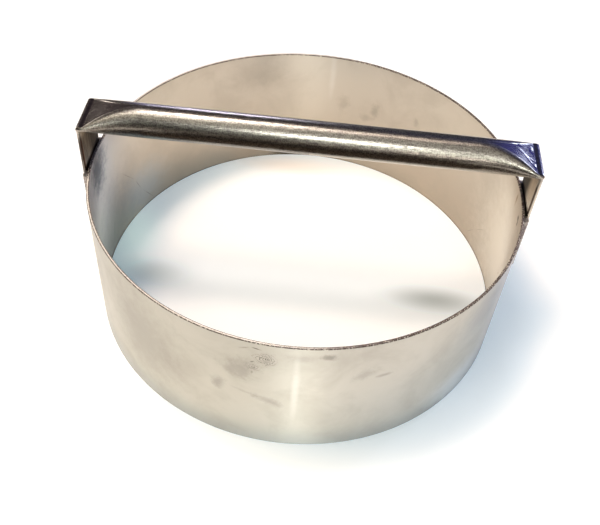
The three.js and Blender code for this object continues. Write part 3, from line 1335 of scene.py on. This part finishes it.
    def _floor(self) -> None:
        """Lay a pale floor that stays white to the eye and in the metal, and keeps the shadows, with soft
        ovals of painted shade and painted light.
        """
        floor = Modeller.start("floor", "plane", size=self.floor_size, location=(0, 0, 0))
        material, bench = new_material("white_floor")
        x, y, _ = bench.place
        off_ends = bench.math("MAXIMUM", bench.rise(y, *self.sheet_back), bench.rise(-y, *self.sheet_front))
        off_sheet = bench.math("MAXIMUM", off_ends, bench.rise(abs(x), *self.sheet_side))
        away = bench.rise(bench.hypot(x, y), *self.white_from)
        paper = bench.mix(self.floor_colour, self.table_colour, off_sheet)
        shine = bench.mix(bench.mix(self.floor_glow, self.far_glow, away), self.table_colour, off_sheet)
        # Painted shade and light in soft ovals, on the paper and in its glow.
        for floor_patch in self.painted_floor_patches:
            east = (x - floor_patch.place[0]) / floor_patch.size[0]
            north = (y - floor_patch.place[1]) / floor_patch.size[1]
            mask = (1.0 - bench.rise(bench.hypot(east, north), 0.0, 1.0)) * floor_patch.strength
            paper, shine = (bench.mix(colour, floor_patch.colour, mask) for colour in (paper, shine))
        path = bench.node("LightPath", {})
        seen, glossy, clear = (Value(bench, path.outputs[f"Is {kind} Ray"])
                               for kind in ("Camera", "Glossy", "Transmission"))
        strength = bench.math("MINIMUM", seen + (glossy + clear), 1.0)
        glow = bench.link("Emission", {"Color": shine, "Strength": strength})
        bench.finish(bench.link("AddShader", {0: bench.link("BsdfDiffuse", {"Color": paper}), 1: glow}))
        floor.data.materials.append(material)

    def _raise_flag(self) -> None:
        """Stand a curved dark card along the front wall, facing in, as a painted dark reflection."""
        card = Modeller.start("inner_dark_card", "cylinder", vertices=self.flag_sides, radius=self.flag_radius,
                              depth=self.flag_height, end_fill_type="NOTHING",
                              location=(0, 0, self.flag_height / 2))
        reach = math.cos(math.radians(self.flag_span / 2)) * self.flag_radius
        with Modeller.editing(card):
            Modeller.choose(card, Part.VERTS, lambda vert: -vert.co.y < reach)
            bpy.ops.mesh.delete(type="VERT")
            Modeller.choose_all()
            bpy.ops.mesh.flip_normals()
        self._cover(card)

    def _cover(self, card: Piece) -> None:
        """Cover a card's face with a dark colour that only reflections show, as a painted dark reflection,
        and leave its back clear.

        Args:
            card: The card.
        """
        material, bench = new_material("dark_reflection_card")
        dark_face = bench.link("BsdfDiffuse", {"Color": (*self.dark_reflection_colour, 1.0)})
        back = bench.node("NewGeometry", {}).outputs["Backfacing"]
        bench.finish(bench.link("MixShader", {0: back, 1: dark_face, 2: bench.link("BsdfTransparent", {})}))
        card.data.materials.append(material)
        card.visible_camera = False
        card.visible_shadow = False
        card.visible_diffuse = False

    def _hang(self, lamp: Lamp) -> None:
        """Hang one lamp where its fields say, facing the aim.

        Args:
            lamp: The lamp.
        """
        light = bpy.data.lights.new(lamp.name, "AREA")
        light.shape = "RECTANGLE"
        light.size, light.size_y = lamp.size
        light.energy = lamp.power
        light.color = lamp.colour
        piece = bpy.data.objects.new(lamp.name, light)
        piece.visible_glossy = lamp.mirrored
        bpy.context.scene.collection.objects.link(piece)
        turn = (Vector(self.lamp_aim) - Vector(lamp.place)).to_track_quat("-Z", "Y").to_matrix()
        piece.matrix_world = Matrix.Translation(lamp.place) @ turn.to_4x4()

    def _room(self) -> None:
        """Shade the room by direction: dark, with a soft patch for each bright thing that stands round."""
        world = bpy.data.worlds.new("room")
        bpy.context.scene.world = world
        world.use_nodes = True
        world.node_tree.nodes.clear()
        bench = ShaderBench(world.node_tree, "Generated")
        x, y, z = bench.place
        colour: Any = self.ceiling
        for patch in self.patches:
            near = Vector(patch.direction).normalized()
            facing = x * near.x + y * near.y + z * near.z
            edge, middle = math.cos(math.radians(patch.edge)), math.cos(math.radians(patch.middle))
            share = bench.rise(facing, edge, middle)
            share.socket.node.label = patch.name
            colour = bench.mix(colour, patch.colour, share, "ADD")
        bench.finish(bench.link("Background", {"Color": colour, "Strength": 1.0}), "OutputWorld")

    @staticmethod
    def _camera() -> None:
        """Stand the camera where the object is seen from above and a little to the right."""
        elevation, roll, turn = math.radians(47.2), math.radians(4.95), math.radians(1.42)
        distance, focal_pixels, sensor = 443.4 * MM, 808.0, 36.0
        target = Vector((-0.23 * MM, 9.6 * MM, 0))
        about = Matrix.Rotation(turn, 3, "Z")
        right = about @ Vector((1, 0, 0))
        forward = about @ Vector((0, math.cos(elevation), -math.sin(elevation)))
        upward = about @ Vector((0, math.sin(elevation), math.cos(elevation)))
        across = right * math.cos(roll) + upward * math.sin(roll)
        upright = upward * math.cos(roll) - right * math.sin(roll)
        pose = Matrix((across, upright, -forward)).transposed().to_4x4()
        data = bpy.data.cameras.new("camera")
        data.sensor_width = sensor
        data.sensor_fit = "HORIZONTAL"
        data.lens = sensor * focal_pixels / IMAGE_WIDTH
        data.clip_start = 10 * MM
        camera = bpy.data.objects.new("camera", data)
        bpy.context.scene.collection.objects.link(camera)
        camera.matrix_world = Matrix.Translation(target - forward * distance) @ pose
        bpy.context.scene.camera = camera


def main() -> None:
    """Build the pieces in order, dress them and light them."""
    logging.basicConfig(level=logging.INFO, format="%(message)s")
    Studio().build()
    ring = CutterRing.from_frame()
    sheet = SatinSheet(ring.middle_radius, ring.height).make()
    Modeller.dress(ring.build(), sheet, "satin_sheet", "cutter_ring")
    Modeller.dress(SeamBead(ring).build(), sheet, "weld", "ring_seam_weld")
    weld = WeldMetal().make()
    grip = Grip.from_frame()
    tube = PolishedTube(grip.flare_start, grip.flare_spread, grip.axis_height).make()
    Modeller.dress(grip.build(), tube, "polished_tube", "handle_tube")
    beads = TabBeads.from_frame()
    first = beads.build()
    for side in Side:
        for edge in Edge:
            is_first = side is Side.RIGHT and edge is Edge.REAR
            bead = first if is_first else beads.copy(first, side, edge)
            Modeller.dress(bead, weld, "weld", f"{side.name.lower()}_tab_{edge.name.lower()}_weld")


if __name__ == "__main__":
    main()
